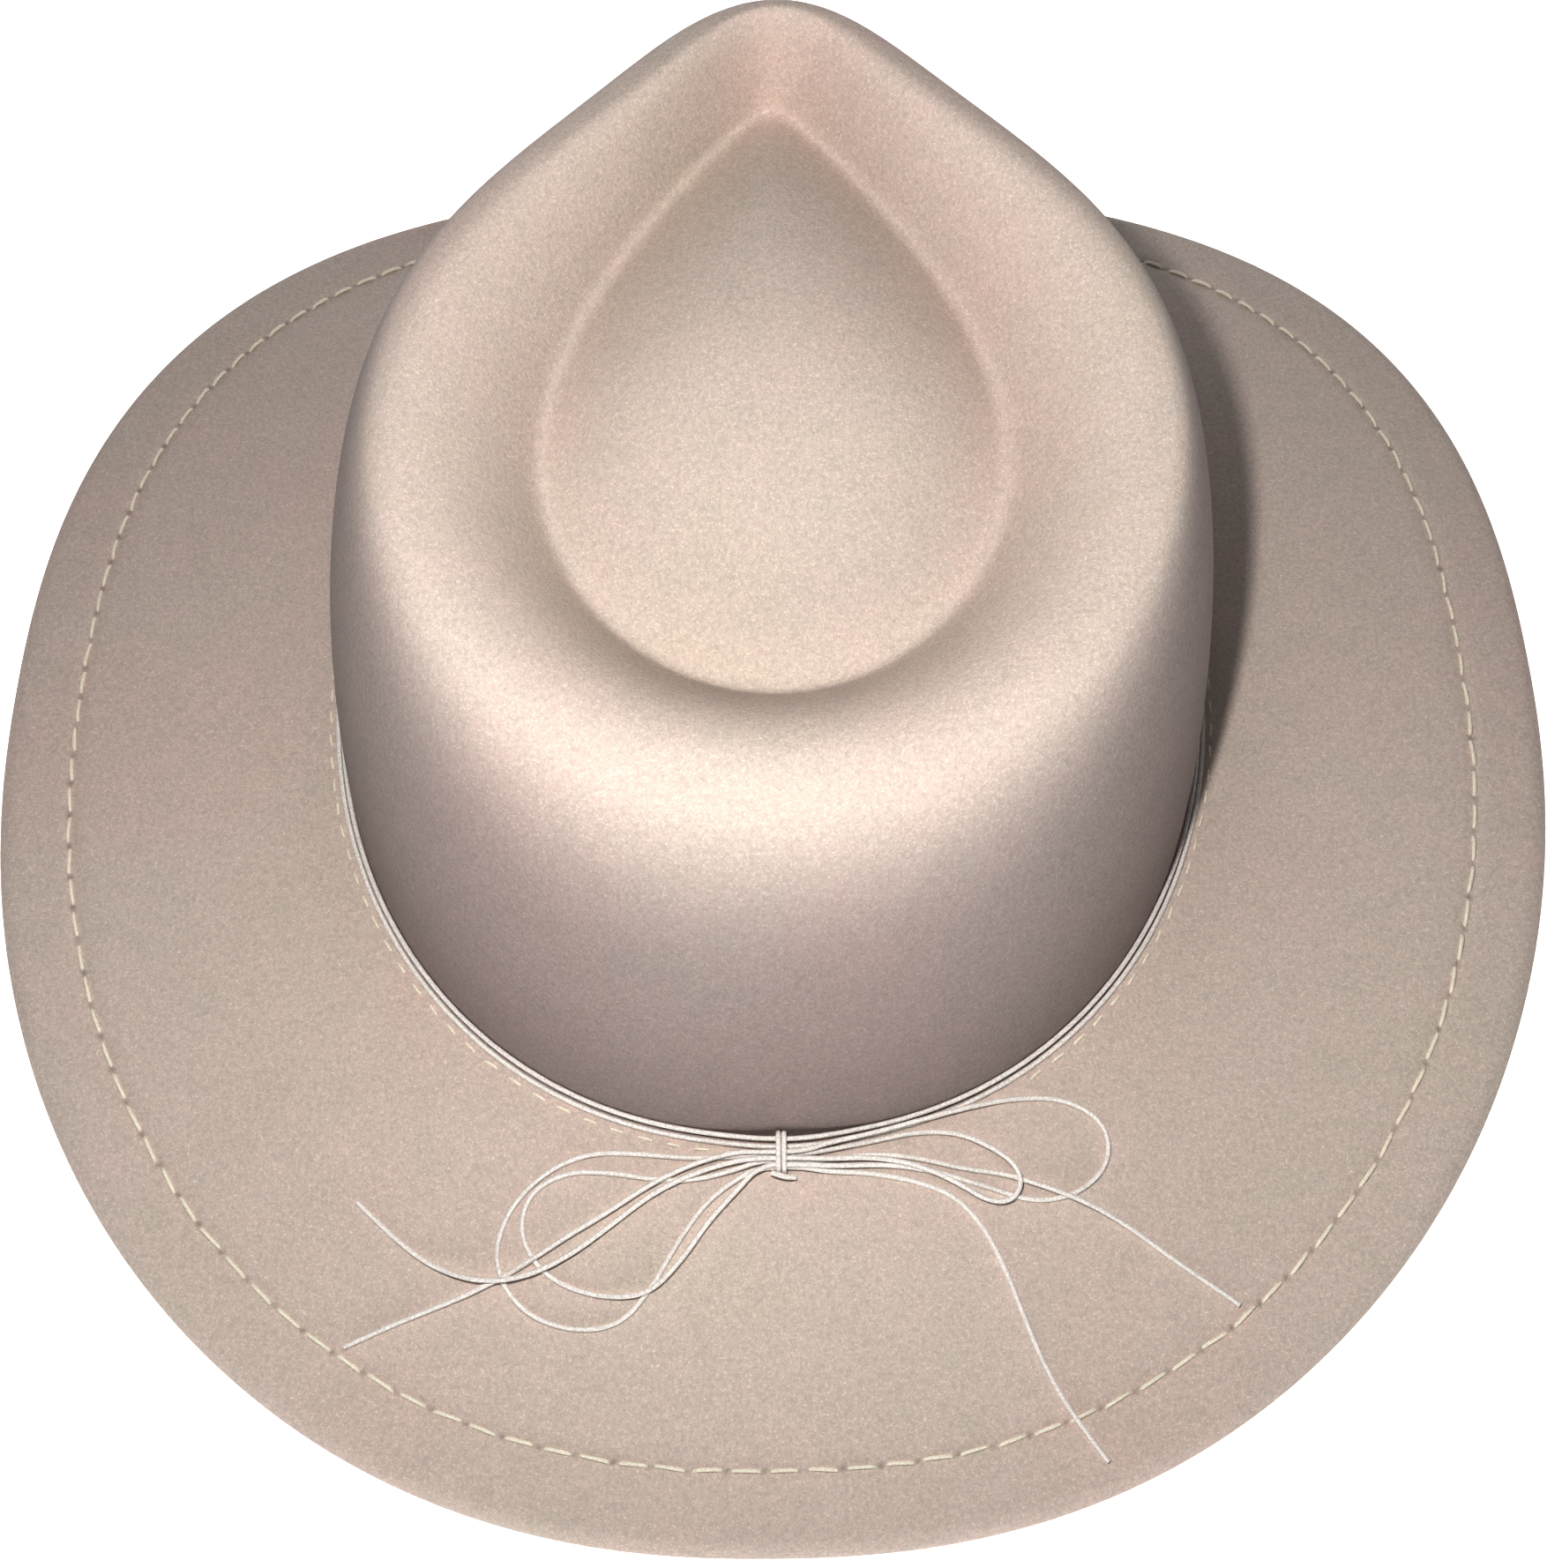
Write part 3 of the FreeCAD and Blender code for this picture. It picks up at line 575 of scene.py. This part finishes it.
# ---- Thread ----
def tube(centre, radius, sides):
    """Points and faces of one bent thread along the centre points."""
    along = np.gradient(centre, axis=0)
    along /= np.linalg.norm(along, axis=1, keepdims=True)
    level = np.cross(along, [0, 0, 1])
    level /= np.linalg.norm(level, axis=1, keepdims=True)
    rise = np.cross(level, along)
    points = []
    for turn in range(sides):
        swing = 2 * math.pi * turn / sides
        points.append(centre + (level * math.cos(swing) + rise * math.sin(swing)) * radius[:, None])
    points = np.stack(points, axis=1).reshape(-1, 3)
    faces = [face[::-1] for face in grid_faces(len(centre), sides, False)]
    last = (len(centre) - 1) * sides
    faces.append(tuple(range(sides)))
    faces.append(tuple(last + turn for turn in reversed(range(sides))))
    return points, faces


def stitch_threads(line, pitch, length, radius, rise, sink, skipped=None):
    """Bent threads along a closed line. Each comes out of the felt and goes back in."""
    dense_angle = np.linspace(0, 2 * math.pi, 3601)
    dense = line(dense_angle)
    travelled = np.concatenate([[0.0], np.cumsum(np.linalg.norm(np.diff(dense, axis=0), axis=1))])
    total = travelled[-1]
    count = round(total / pitch)
    chance = random.Random(STITCH_SEED)
    all_points = []
    all_faces = []
    done = 0
    for i in range(count):
        middle = i * total / count + chance.uniform(-0.03, 0.03) * pitch
        half = length * chance.uniform(0.94, 1.04) / 2
        share = np.linspace(-1, 1, THREAD_PLACES)
        places = (middle + share * half) % total
        centre = np.stack([np.interp(places, travelled, dense[:, k]) for k in range(3)], axis=1)
        if skipped and skipped(centre[THREAD_PLACES // 2]):
            continue
        sideways = chance.uniform(-0.05, 0.05) * length
        across = np.cross(centre[-1] - centre[0], [0, 0, 1])
        across /= np.linalg.norm(across)
        centre = centre + across * (share[:, None] * sideways)
        centre[:, 2] += rise * (1 - np.abs(share) ** 3) - sink * np.abs(share) ** 5
        thickness = radius * (1 - 0.25 * np.abs(share) ** 6)
        points, faces = tube(centre, thickness, THREAD_SIDES)
        all_points.append(points)
        all_faces += [tuple(done + index for index in face) for face in faces]
        done += len(points)
    return np.concatenate(all_points), all_faces


def joined(parts):
    points = []
    faces = []
    done = 0
    for some_points, some_faces in parts:
        points.append(some_points)
        faces += [tuple(done + index for index in face) for face in some_faces]
        done += len(some_points)
    return np.concatenate(points), faces


def make_hem_stitches(material):
    upper = stitch_threads(
        lambda angle: brim_from_roll(angle, HEM_LINE),
        HEM_STITCH_PITCH, length=5.6 * MM, radius=0.42 * MM, rise=0.05 * MM, sink=0.75 * MM)
    lower = stitch_threads(
        lambda angle: brim_from_roll(angle, HEM_LINE, FLAP_DROP + 0.25 * MM),
        HEM_STITCH_PITCH, length=5.4 * MM, radius=0.36 * MM, rise=0.0, sink=-0.4 * MM)
    points, faces = joined([upper, lower])
    mesh_object("thread_hem", points, faces, material, ["hem_stitching"])


def under_bow(point):
    low, high = BOW_COVER
    return point[1] > 0 and low < point[0] < high


def make_foot_stitches(material):
    upper = stitch_threads(
        lambda angle: brim_from_foot(angle, FOOT_STITCH_OFFSET),
        FOOT_STITCH_PITCH, length=3.0 * MM, radius=0.26 * MM, rise=0.2 * MM, sink=0.3 * MM,
        skipped=under_bow)
    lower = stitch_threads(
        lambda angle: brim_from_foot(angle, FOOT_STITCH_OFFSET, 2 * FELT + 0.15 * MM),
        FOOT_STITCH_PITCH, length=3.2 * MM, radius=0.26 * MM, rise=0.0, sink=-0.3 * MM)
    points, faces = joined([upper, lower])
    mesh_object("thread_crown", points, faces, material, ["crown_stitching"])


def make_band_cord(name, out, up, material):
    """A closed ring round the crown's foot, lifted a little where it passes under the knot."""
    angle = np.arange(BAND_ANGLES) * 2 * math.pi / BAND_ANGLES
    knot_angle = REAR + math.asin(-KNOT_X / FOOT_HALF_X)
    turn = (angle - knot_angle + math.pi) % (2 * math.pi) - math.pi
    lift = KNOT_ROOM * np.exp(-(turn / math.radians(KNOT_SPREAD)) ** 2)
    centre = foot(angle, out + lift)
    centre[:, 2] = brim_from_foot(angle, out + lift)[:, 2] + up + lift
    radial = outward(foot_line, angle)
    rings = []
    for i in range(BAND_SIDES):
        swing = 2 * math.pi * i / BAND_SIDES
        ring = centre + radial * (CORD_DIAMETER / 2 * math.cos(swing))
        rings.append(shifted(ring, z=CORD_DIAMETER / 2 * math.sin(swing)))
    points = np.stack(rings).reshape(-1, 3)
    faces = grid_faces(BAND_SIDES, BAND_ANGLES, True)
    mesh_object("cord_" + name, points, faces, material, ["band_cord_" + name])


# ---- Materials ----
def new_material(name):
    material = bpy.data.materials.new(name)
    material.use_nodes = True
    nodes = material.node_tree.nodes
    return material, nodes, material.node_tree.links, nodes["Principled BSDF"]


def noise(nodes, links, position, scale, detail, roughness):
    texture = nodes.new("ShaderNodeTexNoise")
    texture.inputs["Scale"].default_value = scale
    texture.inputs["Detail"].default_value = detail
    texture.inputs["Roughness"].default_value = roughness
    links.new(position, texture.inputs["Vector"])
    return texture.outputs["Fac"]


def ramp(nodes, links, value, stops):
    node = nodes.new("ShaderNodeValToRGB")
    elements = node.color_ramp.elements
    while len(elements) < len(stops):
        elements.new(0.5)
    for element, (place, color) in zip(elements, stops):
        element.position = place
        element.color = (*color, 1)
    links.new(value, node.inputs["Fac"])
    return node.outputs["Color"]


def multiplied(nodes, links, color, tint):
    node = nodes.new("ShaderNodeMix")
    node.data_type = "RGBA"
    node.blend_type = "MULTIPLY"
    links.new(color, node.inputs[6])
    links.new(tint, node.inputs[7])
    node.inputs[0].default_value = 1.0
    return node.outputs[2]


def marked(nodes, name):
    node = nodes.new("ShaderNodeAttribute")
    node.attribute_name = name
    return node.outputs["Fac"]


def bump(nodes, links, height, strength, distance, before=None):
    node = nodes.new("ShaderNodeBump")
    node.inputs["Strength"].default_value = strength
    node.inputs["Distance"].default_value = distance
    links.new(height, node.inputs["Height"])
    if before:
        links.new(before, node.inputs["Normal"])
    return node.outputs["Normal"]


def felt_material():
    """Pale felt: colour patches, tufts, single fibre flecks with painted glints, and the two marks
    left on the meshes, which paint shade on steep walls and in needle holes.
    """
    material, nodes, links, shader = new_material("blush_felt")
    position = nodes.new("ShaderNodeTexCoord").outputs["Object"]
    patches = noise(nodes, links, position, 130, 4.0, 0.6)
    blush = noise(nodes, links, position, 16, 2.0, 0.5)
    tufts = noise(nodes, links, position, 1100, 3.0, 0.6)
    fibres_and_glints = noise(nodes, links, position, 2600, 2.0, 0.6)
    color = ramp(nodes, links, patches, FELT_PATCHES)
    # The fibre ramp paints glints; the wall and needle marks paint shade on steep walls and in needle
    # holes.
    for value, stops in ((blush, FELT_BLUSH), (tufts, FELT_TUFTS), (fibres_and_glints, FELT_FIBRES_AND_GLINTS),
                         (marked(nodes, "painted_wall_shade"), PAINTED_WALL_SHADE),
                         (marked(nodes, "needle"), PAINTED_NEEDLE_HOLE_SHADE)):
        color = multiplied(nodes, links, color, ramp(nodes, links, value, stops))
    links.new(color, shader.inputs["Base Color"])
    shader.inputs["Roughness"].default_value = 0.85
    shader.inputs["Specular IOR Level"].default_value = 0.12
    normal = bump(nodes, links, tufts, 0.35, 0.4 * MM)
    normal = bump(nodes, links, fibres_and_glints, 0.3, 0.15 * MM, normal)
    links.new(normal, shader.inputs["Normal"])
    return material


def plain_material(name, color, roughness, grain_scale, grain_depth, specular=0.3):
    material, nodes, links, shader = new_material(name)
    position = nodes.new("ShaderNodeTexCoord").outputs["Object"]
    grain = noise(nodes, links, position, grain_scale, 3.0, 0.5)
    dark = tuple(value * 0.86 for value in color)
    light = tuple(min(value * 1.06, 1.0) for value in color)
    shade = ramp(nodes, links, grain, [(0.35, dark), (0.65, light)])
    links.new(shade, shader.inputs["Base Color"])
    shader.inputs["Roughness"].default_value = roughness
    shader.inputs["Specular IOR Level"].default_value = specular
    links.new(bump(nodes, links, grain, 0.4, grain_depth), shader.inputs["Normal"])
    return material


def steel_material():
    material, _, _, shader = new_material("drawn_steel")
    shader.inputs["Base Color"].default_value = STEEL_COLOR
    shader.inputs["Metallic"].default_value = 1.0
    shader.inputs["Roughness"].default_value = 0.35
    return material


# ---- Stage and light ----
def stage_piece(name, points, faces):
    data = bpy.data.meshes.new(name)
    data.from_pydata(points, [], faces)
    material, _, _, shader = new_material(name + "_white")
    shader.inputs["Base Color"].default_value = STAGE_COLOR
    shader.inputs["Roughness"].default_value = 0.9
    shader.inputs["Emission Color"].default_value = (1, 1, 1, 1)
    shader.inputs["Emission Strength"].default_value = STAGE_GLOW
    data.materials.append(material)
    piece = bpy.data.objects.new(name, data)
    bpy.context.scene.collection.objects.link(piece)


def make_stage():
    """A wide pale floor and, far away, a low pale wall all round it."""
    half = FLOOR_HALF
    corners = [(-half, -half, 0), (half, -half, 0), (half, half, 0), (-half, half, 0)]
    stage_piece("floor", corners, [(0, 1, 2, 3)])
    sides = BACKDROP_SIDES
    turns = [2 * math.pi * i / sides for i in range(sides)]
    ring = [(BACKDROP_RADIUS * math.cos(turn), BACKDROP_RADIUS * math.sin(turn)) for turn in turns]
    points = [(x, y, 0) for x, y in ring] + [(x, y, BACKDROP_HEIGHT) for x, y in ring]
    faces = [(i, (i + 1) % sides, sides + (i + 1) % sides, sides + i) for i in range(sides)]
    stage_piece("backdrop", points, faces)


def area_light(name, place, aim, size, watts, color):
    data = bpy.data.lights.new(name, "AREA")
    data.shape = "DISK"
    data.size = size
    data.energy = watts
    data.color = color
    light = bpy.data.objects.new(name, data)
    light.location = place
    direction = Vector(aim) - Vector(place)
    light.rotation_euler = direction.to_track_quat("-Z", "Y").to_euler()
    bpy.context.scene.collection.objects.link(light)


def make_lights():
    for name, values in LIGHTS.items():
        area_light(name, **values)
    world = bpy.data.worlds.new("studio")
    world.use_nodes = True
    background = world.node_tree.nodes["Background"]
    background.inputs["Color"].default_value = WORLD_COLOR
    background.inputs["Strength"].default_value = WORLD_STRENGTH
    bpy.context.scene.world = world


def set_view():
    """The plain view transform, with a gamma that deepens the shading."""
    settings = bpy.context.scene.view_settings
    settings.view_transform = "Standard"
    settings.gamma = VIEW_GAMMA


def dress(frame, name, material):
    """Gives a CAD node that stays shown its finish."""
    node = frame["nodes"][name]
    node.data.materials.clear()
    node.data.materials.append(material)


def main():
    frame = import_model()
    make_camera()
    cord = plain_material("waxed_cord", CORD_COLOR, 0.5, 2500, 0.08 * MM, 0.4)
    for name in BOW_ROUTES:
        make_cord(name, cord)
    felt = felt_material()
    thread = plain_material("cream_thread", THREAD_COLOR, 0.7, 4000, 0.05 * MM)
    cotton = plain_material("cotton_band", COTTON_COLOR, 0.85, 1500, 0.1 * MM)
    label = plain_material("woven_label", LABEL_COLOR, 0.8, 3000, 0.05 * MM)
    steel = steel_material()
    make_crown(felt)
    make_brim(felt)
    make_hem_stitches(thread)
    make_foot_stitches(thread)
    make_band_cord("lower", *LOW_CORD, cord)
    make_band_cord("upper", *HIGH_CORD, cord)
    dress(frame, "bow_binding", cord)
    dress(frame, "sweatband", cotton)
    dress(frame, "sweatband_joint_tape", cotton)
    dress(frame, "size_label", label)
    dress(frame, "brim_wire", steel)
    dress(frame, "brim_wire_sleeve", steel)
    make_stage()
    make_lights()
    set_view()


main()
